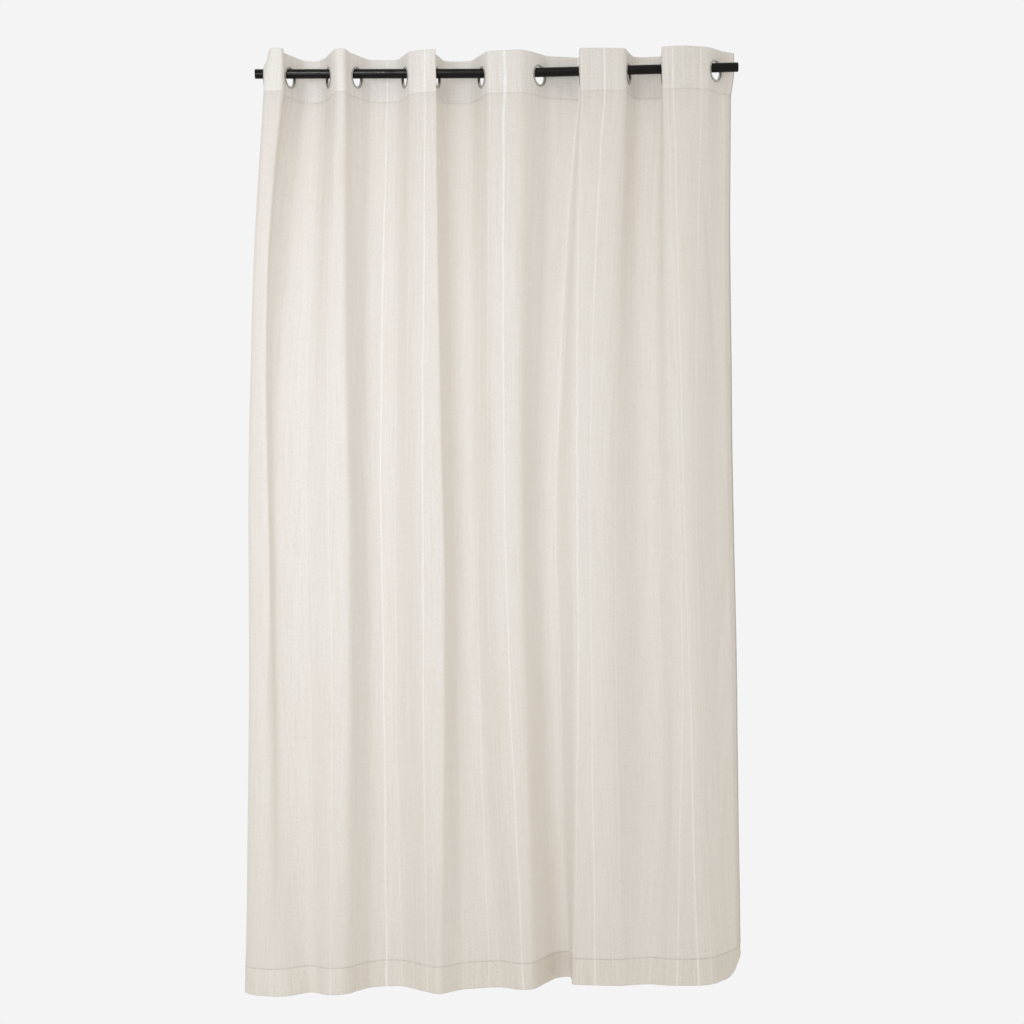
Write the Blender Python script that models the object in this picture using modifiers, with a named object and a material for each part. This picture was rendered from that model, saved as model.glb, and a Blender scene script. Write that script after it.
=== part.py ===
"""Eyelet-top sheer curtain hanging on a plain round rod.

The frame has its origin on the rod's axis at the middle of its length. +X runs along the rod
to the right of someone who faces the curtain, -Y points at that person and +Z is up.
The panel is one cloth whose threads hang straight down from a heading that weaves in front
of and behind the rod through twelve eyelets. Its shape is given by the plan of its folds at
the heading, half way down and at the hem, and every row of the cloth is blended from these.
"""

import math
from collections import namedtuple

import bmesh
import bpy
from mathutils import Matrix, Vector

# Rod
ROD_LENGTH = 1.110
ROD_RADIUS = 0.011
ROD_SLOPE = 0.0127        # rise of each half towards its end, under the weight of the cloth
ROD_BEND = 0.070          # half length of the soft bend at the middle
ROD_POINTS = 12
ROD_SIDES_RESOLUTION = 7

# Cloth
TOP_ABOVE_ROD = 0.043
DROP = 2.131
HEADING_HEIGHT = 0.100
HEM_HEIGHT = 0.061
SIDE_HEM_WIDTH = 0.022
CLOTH_THICKNESS = 0.0015
DOUBLED_THICKNESS = 0.0025
STITCH_STEP = 0.003       # run over which the doubled cloth thins to a single layer
WAIST_BELOW_TOP = 1.133   # height at which the middle plan holds
BODY_ROWS = (0.22, 0.42, 0.72, WAIST_BELOW_TOP, 1.50, 1.82)   # below the top edge
RELAXING = 1.6            # how soon the heading's plan gives way to the freer one below
SPREADING = 1.6           # how late the middle plan gives way to the hem's
CREST_LEAN = 0.011        # how far the first crest's outer corner leans in at the top edge
CORNER_CURL = 0.026       # how far the hem's right corner has rolled up
CORNER_CURL_WIDTH = 0.075
CORNER_CURL_BACK = 0.045

# Eyelets
EYELET_BORE_RADIUS = 0.0210
EYELET_BARREL_RADIUS = 0.0220
EYELET_FLANGE_RADIUS = 0.0255
EYELET_FLANGE_HEIGHT = 0.0018
EYELET_BEVEL = 0.0008
EYELET_SIDES = 20
WASHER_HEIGHT = 0.0013
BARREL_LIP = 0.0004       # how far the barrel shows behind the washer
FLANK_HALF_LENGTH = 0.030  # straight cloth to each side of an eyelet's centre
FLANK_EASE = 0.004
FIT_GAP = 0.0003
REST_GAP = 0.0005         # between the rod and the bore of the eyelet that hangs on it
REST_STEPS = 18           # places around the upper side of the rod where they may touch

CORNER_STEPS = 4          # plan points on each rounded corner of a fold
FLANK_STEPS = 2           # plan points on each end of a straight flank
FREE_FLANK_EASE = 0.008   # rounding of the flanks below the heading
LARGEST_SHARE = 0.42      # a rounding takes at most this share of the run beside it

Eyelet = namedtuple("Eyelet", "x flank_degrees")
Fold = namedtuple("Fold", "left_x left_y right_x right_y left_ease right_ease")
Edges = namedtuple("Edges", "left_x left_y right_x right_y")

# Where each eyelet crosses the rod, and the angle in plan between the rod and its cloth.
# Odd ones bring the cloth to the front, even ones take it back. Past 90 the fold overhangs.
EYELETS = (
    Eyelet(-0.532, 93.0),
    Eyelet(-0.475, 64.0),
    Eyelet(-0.387, 75.0),
    Eyelet(-0.322, 62.0),
    Eyelet(-0.212, 72.0),
    Eyelet(-0.138, 74.0),
    Eyelet(-0.036, 71.0),
    Eyelet(0.097, 52.0),
    Eyelet(0.190, 95.0),
    Eyelet(0.302, 75.0),
    Eyelet(0.379, 94.0),
    Eyelet(0.503, 51.0),
)

# Plans of the folds: crests (negative y, towards the room) and valleys in turn, from the left.
# Each has two corners, and the ease is the run of cloth that rounds a corner on each side.
HEADING_EDGES = Edges(-0.528, 0.066, 0.552, 0.046)
HEADING_FOLDS = (
    Fold(-0.531, -0.072, -0.484, -0.074, 0.018, 0.016),   # crest 1
    Fold(-0.446, 0.060, -0.416, 0.068, 0.022, 0.022),     # valley 1
    Fold(-0.367, -0.067, -0.346, -0.068, 0.018, 0.014),   # crest 2
    Fold(-0.290, 0.054, -0.232, 0.053, 0.026, 0.026),     # valley 2
    Fold(-0.186, -0.047, -0.139, -0.061, 0.022, 0.008),   # crest 3
    Fold(-0.121, 0.068, -0.060, 0.067, 0.024, 0.024),     # valley 3
    Fold(-0.018, -0.038, 0.052, -0.050, 0.014, 0.026),    # crest 4
    Fold(0.126, 0.030, 0.194, 0.052, 0.014, 0.010),       # valley 4
    Fold(0.189, -0.049, 0.286, -0.037, 0.006, 0.012),     # crest 5
    Fold(0.323, 0.065, 0.384, 0.061, 0.022, 0.010),       # valley 5
    Fold(0.375, -0.039, 0.424, -0.048, 0.006, 0.026),     # crest 6
)

WAIST_EDGES = Edges(-0.580, 0.084, 0.536, 0.056)
WAIST_FOLDS = (
    Fold(-0.589, -0.030, -0.535, -0.064, 0.030, 0.012),   # crest 1
    Fold(-0.530, -0.018, -0.468, -0.002, 0.012, 0.030),   # valley 1, which opens early
    Fold(-0.398, -0.052, -0.356, -0.066, 0.030, 0.012),   # crest 2
    Fold(-0.316, 0.044, -0.268, 0.054, 0.030, 0.030),     # valley 2
    Fold(-0.196, -0.048, -0.141, -0.064, 0.030, 0.009),   # crest 3
    Fold(-0.118, 0.050, -0.076, 0.056, 0.022, 0.030),     # valley 3
    Fold(-0.026, -0.040, 0.030, -0.052, 0.022, 0.030),    # crest 4
    Fold(0.078, 0.046, 0.112, 0.058, 0.030, 0.022),       # valley 4
    Fold(0.150, -0.040, 0.226, -0.042, 0.022, 0.030),     # crest 5
    Fold(0.308, 0.030, 0.346, 0.026, 0.030, 0.030),       # valley 5
    Fold(0.376, -0.040, 0.424, -0.050, 0.024, 0.030),     # crest 6
)

HEM_EDGES = Edges(-0.618, 0.086, 0.531, 0.080)
HEM_FOLDS = (
    Fold(-0.614, -0.014, -0.586, -0.050, 0.030, 0.012),   # crest 1
    Fold(-0.520, -0.082, -0.460, -0.018, 0.040, 0.016),   # valley 1, with a swell before it
    Fold(-0.422, -0.065, -0.382, -0.060, 0.024, 0.014),   # crest 2
    Fold(-0.330, 0.037, -0.262, 0.046, 0.024, 0.034),     # valley 2
    Fold(-0.196, -0.054, -0.175, -0.074, 0.020, 0.008),   # crest 3
    Fold(-0.120, -0.012, -0.034, 0.008, 0.030, 0.030),    # valley 3
    Fold(0.008, -0.034, 0.043, -0.038, 0.024, 0.014),     # crest 4
    Fold(0.096, 0.110, 0.130, 0.112, 0.024, 0.010),       # valley 4
    Fold(0.130, 0.004, 0.236, -0.038, 0.006, 0.030),      # crest 5
    Fold(0.264, -0.028, 0.304, -0.026, 0.020, 0.020),     # valley 5, almost flat here
    Fold(0.346, -0.054, 0.438, -0.067, 0.024, 0.026),     # crest 6
)

CLOTH_COLOUR = (0.80, 0.76, 0.69, 1.0)
METAL_COLOUR = (0.42, 0.41, 0.39, 1.0)
ROD_COLOUR = (0.012, 0.011, 0.011, 1.0)


def clear_scene():
    """Start from an empty scene."""
    for old in list(bpy.data.objects):
        bpy.data.objects.remove(old, do_unlink=True)


def make_collection(name):
    """Add a collection to the scene."""
    collection = bpy.data.collections.new(name)
    bpy.context.scene.collection.children.link(collection)
    return collection


def make_material(name, colour, roughness, metallic):
    """Make a plain Principled material."""
    material = bpy.data.materials.new(name)
    material.use_nodes = True
    shader = material.node_tree.nodes["Principled BSDF"]
    shader.inputs["Base Color"].default_value = colour
    shader.inputs["Roughness"].default_value = roughness
    shader.inputs["Metallic"].default_value = metallic
    return material


def rod_height(x):
    """Height of the rod's axis, which dips softly at its middle."""
    return ROD_SLOPE * (math.hypot(x, ROD_BEND) - ROD_BEND)


def flank_direction(index):
    """Direction in plan in which the cloth runs through an eyelet, from left to right."""
    angle = math.radians(EYELETS[index].flank_degrees)
    towards_room = -1.0 if index % 2 == 0 else 1.0
    return Vector((math.cos(angle), towards_room * math.sin(angle)))


def eyelet_centre(index):
    """Centre of an eyelet on the cloth's front face, hung so that its bore rests on the rod."""
    x, flank_degrees = EYELETS[index]
    return Vector((x, 0.0, rod_height(x) + resting_height(math.radians(flank_degrees))))


def resting_height(turn):
    """Height over the rod's axis of an eyelet's centre, with its bore just clear of the rod.

    The rod crosses the turned bore as an ellipse, so it may be touched to the side of its top.
    """
    bore = EYELET_BORE_RADIUS * math.cos(math.pi / EYELET_SIDES)
    heights = []
    for step in range(REST_STEPS):
        around = 0.5 * math.pi * step / REST_STEPS
        reach = ROD_RADIUS * math.sin(around) + barrel_depth() * abs(math.cos(turn))
        sideways = reach / math.sin(turn)
        heights.append(ROD_RADIUS * math.cos(around) - math.sqrt(bore ** 2 - sideways ** 2))
    return max(heights) + REST_GAP


def barrel_depth():
    """Length of the barrel behind the cloth's front face."""
    return DOUBLED_THICKNESS + FIT_GAP + WASHER_HEIGHT + BARREL_LIP


def heading_flanks():
    """The straight run of cloth through each eyelet, as its two ends."""
    flanks = []
    for index, eyelet in enumerate(EYELETS):
        centre = Vector((eyelet.x, 0.0))
        reach = flank_direction(index) * FLANK_HALF_LENGTH
        flanks.append((centre - reach, centre + reach))
    return flanks


def free_flanks(folds, edges):
    """Flanks below the heading: the middle third of the run between two folds."""
    ends = [Vector((edges.left_x, edges.left_y))]
    for fold in folds:
        ends.append(Vector((fold.left_x, fold.left_y)))
        ends.append(Vector((fold.right_x, fold.right_y)))
    ends.append(Vector((edges.right_x, edges.right_y)))
    pairs = zip(ends[0::2], ends[1::2])
    return [(a.lerp(b, 1 / 3), a.lerp(b, 2 / 3)) for a, b in pairs]


def plan_corners(folds, edges, flanks, flank_ease):
    """All corners of one plan in order, each with its ease and its number of points."""
    corners = [(Vector((edges.left_x, edges.left_y)), 0.0, 1)]
    for index, (start, end) in enumerate(flanks):
        corners.append((start, flank_ease, FLANK_STEPS))
        corners.append((end, flank_ease, FLANK_STEPS))
        if index < len(folds):
            fold = folds[index]
            left = Vector((fold.left_x, fold.left_y))
            right = Vector((fold.right_x, fold.right_y))
            corners.append((left, fold.left_ease, CORNER_STEPS))
            corners.append((right, fold.right_ease, CORNER_STEPS))
    corners.append((Vector((edges.right_x, edges.right_y)), 0.0, 1))
    return corners


def rounded_plan(corners):
    """Round the corners of a plan with quadratic curves, and return its points."""
    points = []
    for index, (corner, ease, steps) in enumerate(corners):
        if steps == 1:
            points.append(corner)
            continue
        before = corners[index - 1][0] - corner
        after = corners[index + 1][0] - corner
        start = corner + before.normalized() * min(ease, LARGEST_SHARE * before.length)
        end = corner + after.normalized() * min(ease, LARGEST_SHARE * after.length)
        for step in range(steps):
            t = step / (steps - 1)
            points.append(start.lerp(corner, t).lerp(corner.lerp(end, t), t))
    return points


def with_side_hems(points):
    """Add the two stitch points of each side hem, measured in from the edges."""
    def point_along(run, distance):
        for a, b in zip(run, run[1:]):
            length = (b - a).length
            if distance <= length:
                return a.lerp(b, distance / length)
            distance -= length
        return run[-1]

    inner = points[2:-2]
    left = [point_along(points[:3], SIDE_HEM_WIDTH), points[1]]
    right = [points[-2], point_along(points[:-4:-1], SIDE_HEM_WIDTH)]
    return [points[0]] + left + inner + right + [points[-1]]


def free_plan(folds, edges):
    """Points of a plan below the heading."""
    flanks = free_flanks(folds, edges)
    return with_side_hems(rounded_plan(plan_corners(folds, edges, flanks, FREE_FLANK_EASE)))


def blended_plan(heading, waist, hem, below_top):
    """Plan of the cloth at one height, between the three given plans."""
    if below_top <= HEADING_HEIGHT:
        return heading
    if below_top <= WAIST_BELOW_TOP:
        t = (below_top - HEADING_HEIGHT) / (WAIST_BELOW_TOP - HEADING_HEIGHT)
        share = 1.0 - (1.0 - t) ** RELAXING
        return [a.lerp(b, share) for a, b in zip(heading, waist)]
    t = (below_top - WAIST_BELOW_TOP) / (DROP - WAIST_BELOW_TOP)
    return [a.lerp(b, t ** SPREADING) for a, b in zip(waist, hem)]


def cloth_rows():
    """Distances of the cloth's rows below its top edge, each with whether it is doubled."""
    rows = [(0.0, True), (HEADING_HEIGHT, True), (HEADING_HEIGHT + STITCH_STEP, False)]
    rows += [(below_top, False) for below_top in BODY_ROWS]
    hem_top = DROP - HEM_HEIGHT
    rows += [(hem_top - STITCH_STEP, False), (hem_top, True), (DROP, True)]
    return rows


def corner_curl(plan, column, below_top):
    """How far the hem's right corner rolls up and back at one point."""
    from_edge = (plan[column] - plan[-1]).length
    across = max(0.0, 1.0 - from_edge / CORNER_CURL_WIDTH)
    down = max(0.0, (below_top - (DROP - HEM_HEIGHT)) / HEM_HEIGHT)
    return across ** 2 * down ** 2


def crest_lean(column, below_top):
    """How far the first crest's outer corner leans to the right at one point."""
    first = 2 + 2 * FLANK_STEPS
    if first <= column < first + CORNER_STEPS:
        return CREST_LEAN * max(0.0, 1.0 - below_top / HEADING_HEIGHT)
    return 0.0


def make_panel(collection, material, cutters):
    """The cloth: one sheet with its turned heading and hems, cut for the eyelets."""
    heading = with_side_hems(rounded_plan(
        plan_corners(HEADING_FOLDS, HEADING_EDGES, heading_flanks(), FLANK_EASE)))
    waist = free_plan(WAIST_FOLDS, WAIST_EDGES)
    hem = free_plan(HEM_FOLDS, HEM_EDGES)

    sheet = bmesh.new()
    grid = []
    for below_top, doubled in cloth_rows():
        plan = blended_plan(heading, waist, hem, below_top)
        row = []
        for column, point in enumerate(plan):
            curl = corner_curl(plan, column, below_top)
            hang = TOP_ABOVE_ROD - below_top + rod_height(heading[column].x)
            row.append(sheet.verts.new((point.x + crest_lean(column, below_top),
                                        point.y + CORNER_CURL_BACK * curl,
                                        hang + CORNER_CURL * curl)))
        grid.append(row)
    for upper, lower in zip(grid, grid[1:]):
        for column in range(len(upper) - 1):
            sheet.faces.new((upper[column], lower[column],
                             lower[column + 1], upper[column + 1]))
    mesh = bpy.data.meshes.new("curtain_panel")
    sheet.to_mesh(mesh)
    sheet.free()
    mesh.shade_smooth()

    panel = bpy.data.objects.new("curtain_panel", mesh)
    collection.objects.link(panel)
    mesh.materials.append(material)

    doubled_group = panel.vertex_groups.new(name="doubled")
    columns = len(grid[0])
    side_hem = {0, 1, columns - 2, columns - 1}
    for row_index, (_, doubled) in enumerate(cloth_rows()):
        for column in range(columns):
            if doubled or column in side_hem:
                doubled_group.add([row_index * columns + column], 1.0, "REPLACE")

    solidify = panel.modifiers.new("thickness", "SOLIDIFY")
    solidify.thickness = DOUBLED_THICKNESS
    solidify.offset = -1.0
    solidify.vertex_group = doubled_group.name
    solidify.thickness_vertex_group = CLOTH_THICKNESS / DOUBLED_THICKNESS

    holes = panel.modifiers.new("eyelet holes", "BOOLEAN")
    holes.operation = "DIFFERENCE"
    holes.operand_type = "COLLECTION"
    holes.collection = cutters
    holes.solver = "EXACT"
    return panel


def eyelet_matrix(index):
    """Place of an eyelet: its axis stands on the front face of the cloth."""
    along = flank_direction(index)
    outwards = Vector((along.y, -along.x, 0.0))
    up = Vector((0.0, 0.0, 1.0))
    side = up.cross(outwards)
    turn = Matrix((side, up, outwards)).transposed().to_4x4()
    return Matrix.Translation(eyelet_centre(index)) @ turn


def make_cutter(collection, index):
    """The round hole for one eyelet's barrel."""
    shape = bmesh.new()
    radius = EYELET_BARREL_RADIUS + FIT_GAP
    bmesh.ops.create_cone(shape, cap_ends=True, segments=EYELET_SIDES, radius1=radius,
                          radius2=radius, depth=8 * DOUBLED_THICKNESS)
    mesh = bpy.data.meshes.new("eyelet_hole")
    shape.to_mesh(mesh)
    shape.free()
    cutter = bpy.data.objects.new(f"hole_{index + 1:02d}", mesh)
    cutter.matrix_world = eyelet_matrix(index)
    cutter.hide_render = True
    cutter.display_type = "WIRE"
    collection.objects.link(cutter)
    return cutter


def turned_mesh(name, profile, material):
    """A closed profile of radius and height, as a mesh of points and edges to be turned."""
    mesh = bpy.data.meshes.new(name)
    edges = [(i, (i + 1) % len(profile)) for i in range(len(profile))]
    mesh.from_pydata([(radius, 0.0, height) for radius, height in profile], edges, [])
    mesh.materials.append(material)
    return mesh


def make_turned(collection, name, mesh, index):
    """Turn a profile about its axis and set it at one eyelet's place."""
    ring = bpy.data.objects.new(name, mesh)
    ring.matrix_world = eyelet_matrix(index)
    collection.objects.link(ring)
    screw = ring.modifiers.new("turned", "SCREW")
    screw.axis = "Z"
    screw.angle = math.tau
    screw.steps = EYELET_SIDES
    screw.render_steps = EYELET_SIDES
    screw.use_merge_vertices = True
    screw.merge_threshold = 0.00001
    screw.use_smooth_shade = True
    return ring


def make_eyelets(collection, material):
    """Twelve eyelets, each a flanged barrel from the front and a washer behind the cloth."""
    flange_foot = FIT_GAP
    flange_top = FIT_GAP + EYELET_FLANGE_HEIGHT
    front_profile = [
        (EYELET_BORE_RADIUS, flange_top - EYELET_BEVEL),
        (EYELET_BORE_RADIUS + EYELET_BEVEL, flange_top),
        (EYELET_FLANGE_RADIUS - EYELET_BEVEL, flange_top),
        (EYELET_FLANGE_RADIUS, flange_foot),
        (EYELET_BARREL_RADIUS, flange_foot),
        (EYELET_BARREL_RADIUS, -barrel_depth()),
        (EYELET_BORE_RADIUS, -barrel_depth()),
    ]
    washer_front = -DOUBLED_THICKNESS - FIT_GAP
    washer_profile = [
        (EYELET_BARREL_RADIUS + FIT_GAP, washer_front),
        (EYELET_FLANGE_RADIUS, washer_front),
        (EYELET_FLANGE_RADIUS - EYELET_BEVEL, washer_front - WASHER_HEIGHT),
        (EYELET_BARREL_RADIUS + FIT_GAP, washer_front - WASHER_HEIGHT),
    ]
    front_mesh = turned_mesh("eyelet", front_profile, material)
    washer_mesh = turned_mesh("washer", washer_profile, material)
    for index in range(len(EYELETS)):
        make_turned(collection, f"eyelet_{index + 1:02d}", front_mesh, index)
        make_turned(collection, f"washer_{index + 1:02d}", washer_mesh, index)


def make_rod(collection, material):
    """The plain round rod, cut square at both ends."""
    curve = bpy.data.curves.new("rod", "CURVE")
    curve.dimensions = "3D"
    spline = curve.splines.new("POLY")
    spline.points.add(ROD_POINTS - 1)
    for index, point in enumerate(spline.points):
        x = ROD_LENGTH * (index / (ROD_POINTS - 1) - 0.5)
        point.co = (x, 0.0, rod_height(x), 1.0)
    curve.bevel_depth = ROD_RADIUS
    curve.bevel_resolution = ROD_SIDES_RESOLUTION
    curve.use_fill_caps = True
    curve.materials.append(material)
    rod = bpy.data.objects.new("rod", curve)
    collection.objects.link(rod)
    return rod


def main():
    """Build the rod, the eyelets and the cloth."""
    clear_scene()
    collection = make_collection("eyelet_curtain_on_rod")
    cutters = make_collection("cutters")
    cloth = make_material("sheer_cloth", CLOTH_COLOUR, 0.9, 0.0)
    metal = make_material("eyelet_metal", METAL_COLOUR, 0.35, 1.0)
    black = make_material("black_rod", ROD_COLOUR, 0.45, 0.0)
    make_rod(collection, black)
    make_eyelets(collection, metal)
    for index in range(len(EYELETS)):
        make_cutter(cutters, index)
    make_panel(collection, cloth, cutters)


main()
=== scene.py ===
"""Looks of an eyelet-top sheer curtain that hangs on a plain round rod.

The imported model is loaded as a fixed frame: origin on the rod's axis at its middle, +X along the
rod to the right of someone who faces the curtain, -Y towards that person, +Z up, all in metres.
"""

import logging
import math
from dataclasses import dataclass
from enum import Enum, IntEnum
from typing import Callable, NamedTuple, Sequence

import bmesh
import bpy
import numpy as np
from mathutils import Matrix, Vector, noise


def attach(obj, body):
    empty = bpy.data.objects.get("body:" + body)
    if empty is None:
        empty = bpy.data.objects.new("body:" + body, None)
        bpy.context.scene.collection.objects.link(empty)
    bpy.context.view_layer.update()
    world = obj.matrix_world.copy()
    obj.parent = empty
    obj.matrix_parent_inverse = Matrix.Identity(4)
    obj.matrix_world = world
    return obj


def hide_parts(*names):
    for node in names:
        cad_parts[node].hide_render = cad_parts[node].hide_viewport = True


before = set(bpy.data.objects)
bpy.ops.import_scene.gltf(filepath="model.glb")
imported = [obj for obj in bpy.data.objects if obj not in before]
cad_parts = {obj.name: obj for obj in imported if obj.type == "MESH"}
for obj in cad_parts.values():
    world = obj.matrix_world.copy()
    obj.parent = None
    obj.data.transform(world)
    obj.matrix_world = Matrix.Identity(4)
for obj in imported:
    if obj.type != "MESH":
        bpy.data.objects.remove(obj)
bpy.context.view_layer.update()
LOG = logging.getLogger("curtain")
ROOT = "root"
SWAY_SEED = 1


# Shader tools


class Maths(Enum):
    """Math node operations that the finishes use."""

    ADD = "ADD"
    SUBTRACT = "SUBTRACT"
    MULTIPLY = "MULTIPLY"
    DIVIDE = "DIVIDE"
    POWER = "POWER"
    ABSOLUTE = "ABSOLUTE"
    FRACTION = "FRACT"
    GREATER = "GREATER_THAN"
    LESS = "LESS_THAN"
    SMALLER = "MINIMUM"
    LARGER = "MAXIMUM"


def operator(operation: Maths, reflected: bool = False) -> Callable[..., "Field"]:
    """Make a Field's operator, which adds one Math node.

    Args:
        operation: What the node works out.
        reflected: Whether the field's own value comes last.

    Returns:
        The operator.
    """

    def method(self: "Field", *others: "Field | float") -> "Field":
        """Work the operation out on this field and any other value."""
        values = (*others, self) if reflected else (self, *others)
        return self.shading.math(operation, *values)

    return method


class Field:
    """A number that varies over a surface: a wrapped socket whose operators add Math nodes."""

    __add__, __radd__ = operator(Maths.ADD), operator(Maths.ADD, reflected=True)
    __sub__, __rsub__ = operator(Maths.SUBTRACT), operator(Maths.SUBTRACT, reflected=True)
    __mul__, __rmul__ = operator(Maths.MULTIPLY), operator(Maths.MULTIPLY, reflected=True)
    __truediv__, __pow__ = operator(Maths.DIVIDE), operator(Maths.POWER)
    __gt__, __lt__ = operator(Maths.GREATER), operator(Maths.LESS)
    __abs__, fraction = operator(Maths.ABSOLUTE), operator(Maths.FRACTION)
    at_least, at_most = operator(Maths.LARGER), operator(Maths.SMALLER)

    def __init__(self, shading: "Shading", socket: bpy.types.NodeSocket) -> None:
        """Wrap an output socket of a node tree that carries one number."""
        self.shading = shading
        self.socket = socket

    def clamped(self) -> "Field":
        """Held between zero and one."""
        return self.at_least(0.0).at_most(1.0)

    def ramp(self, low: float, high: float) -> "Field":
        """Smooth rise from zero at low to one at high, or a fall where low is the larger."""
        node = self.shading.node("ShaderNodeMapRange", {"interpolation_type": "SMOOTHSTEP"},
                                 {"Value": self, "From Min": low, "From Max": high})
        return Field(self.shading, node.outputs["Result"])


class Shading:
    """A material's node tree, with one method that adds any node."""

    def __init__(self, name: str) -> None:
        """Start an empty material.

        Args:
            name: The material's name.
        """
        self.material = bpy.data.materials.new(name)
        self.material.use_nodes = True
        self.tree = self.material.node_tree
        self.tree.nodes.clear()
        self.output = self.tree.nodes.new("ShaderNodeOutputMaterial")

    def node(self, kind: str, settings: dict | None = None,
             sockets: dict | None = None) -> bpy.types.Node:
        """Add a node.

        Args:
            kind: The node's type name.
            settings: Properties of the node, set before its sockets.
            sockets: Values or links for its input sockets, by name or index.

        Returns:
            The new node.
        """
        made = self.tree.nodes.new(kind)
        for key, value in (settings or {}).items():
            setattr(made, key, value)
        for key, value in (sockets or {}).items():
            self.feed(made.inputs[key], value)
        return made

    def feed(self, entry: bpy.types.NodeSocket, value: object) -> None:
        """Set or link one input socket.

        Args:
            entry: The input socket.
            value: A Field, an output socket, or a plain value.
        """
        if isinstance(value, Field):
            self.tree.links.new(value.socket, entry)
        elif isinstance(value, bpy.types.NodeSocket):
            self.tree.links.new(value, entry)
        else:
            entry.default_value = value

    def math(self, operation: Maths, *values: Field | float) -> Field:
        """Add a Math node on these values, in order."""
        made = self.node("ShaderNodeMath", {"operation": operation.value},
                         dict(enumerate(values)))
        return Field(self, made.outputs[0])

    def coordinates(self, uv_map: str | None = None) -> tuple[Field, Field, Field]:
        """Separate the piece's own coordinates.

        Args:
            uv_map: A UV map's name, or None for object coordinates.

        Returns:
            The three coordinates as fields.
        """
        if uv_map is None:
            source = self.node("ShaderNodeTexCoord").outputs["Object"]
        else:
            source = self.node("ShaderNodeUVMap", {"uv_map": uv_map}).outputs["UV"]
        parts = self.node("ShaderNodeSeparateXYZ", sockets={0: source})
        x, y, z = (Field(self, parts.outputs[i]) for i in range(3))
        return x, y, z

    def noise(self, x: Field | float, y: Field | float, z: Field | float = 0.0,
              detail: float = 2.0, roughness: float = 0.5) -> Field:
        """Noise between zero and one at a point of already scaled coordinates.

        Args:
            x, y, z: The coordinates, in cells.
            detail: Octaves on top of the first.
            roughness: Weight of each further octave.

        Returns:
            The noise.
        """
        place = self.node("ShaderNodeCombineXYZ", sockets={0: x, 1: y, 2: z})
        made = self.node("ShaderNodeTexNoise", sockets={
            "Vector": place.outputs[0], "Scale": 1.0, "Detail": detail, "Roughness": roughness})
        return Field(self, made.outputs["Fac"])

    def blend(self, share: Field | float, first: object, second: object) -> bpy.types.NodeSocket:
        """Mix two colours or colour sockets, with this share of the second."""
        made = self.node("ShaderNodeMix", {"data_type": "RGBA", "blend_type": "MIX"},
                         {0: share, 6: first, 7: second})
        return made.outputs[2]

    def bump(self, height: Field, distance: float, strength: float) -> bpy.types.NodeSocket:
        """A normal bumped by a relief between zero and one, this deep in metres."""
        made = self.node("ShaderNodeBump", sockets={
            "Height": height, "Distance": distance, "Strength": strength})
        return made.outputs["Normal"]

    def surface(self, kind: str, sockets: dict) -> bpy.types.Material:
        """Make a shader node the material's surface.

        Args:
            kind: The shader node's type name.
            sockets: Values or links for its input sockets.

        Returns:
            The finished material.
        """
        shader = self.node(kind, sockets=sockets)
        self.tree.links.new(shader.outputs[0], self.output.inputs["Surface"])
        return self.material


def eased(share: np.ndarray | float) -> np.ndarray:
    """A share held between zero and one, with soft ends."""
    held = np.clip(share, 0.0, 1.0)
    return held * held * (3.0 - 2.0 * held)


def colour(red: float, green: float, blue: float) -> tuple[float, float, float, float]:
    """An opaque linear colour."""
    return (red, green, blue, 1.0)


def object_from(name: str, mesh: bpy.types.Mesh, material: bpy.types.Material,
                node: str) -> bpy.types.Object:
    """Make a shown piece of a finished mesh and let it ride on the part's one body.

    Args:
        name: The piece's name.
        mesh: Its mesh, already in place.
        material: Its finish.
        node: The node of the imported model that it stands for.

    Returns:
        The new piece.
    """
    piece = bpy.data.objects.new(name, mesh)
    bpy.context.scene.collection.objects.link(piece)
    mesh.materials.clear()
    mesh.materials.append(material)
    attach(piece, ROOT)
    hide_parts(node)
    LOG.info("%s: %d faces, for %s", name, len(mesh.polygons), node)
    return piece


# Finishes


class Stripe(NamedTuple):
    """A thick white slub thread, by its distance from the left edge at the top and at the hem."""

    at_top: float
    at_hem: float
    width: float
    strength: float


class Weave(NamedTuple):
    """One scale of the cloth's unevenness: noise cells in a metre across and along, its seed,
    its octaves, and its weights in the colour and in the relief."""

    across: float
    along: float
    seed: float
    detail: float
    roughness: float
    in_tone: float
    in_relief: float


WEAVES = (
    Weave(240.0, 5.0, 7.0, 3.0, 0.6, 1.8, 0.0),
    Weave(1500.0, 26.0, 0.0, 1.0, 0.5, 1.0, 0.35),
    Weave(22.0, 1500.0, 3.0, 1.0, 0.5, 0.5, 0.25),
    Weave(420.0, 14.0, 17.0, 1.0, 0.5, 0.8, 0.25),
    Weave(12.0, 520.0, 23.0, 1.0, 0.5, 0.5, 0.2),
    Weave(9.0, 2.2, 11.0, 2.0, 0.5, 0.4, 0.0),
    Weave(330.0, 190.0, 41.0, 1.0, 0.5, 1.5, 0.0),
)


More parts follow.
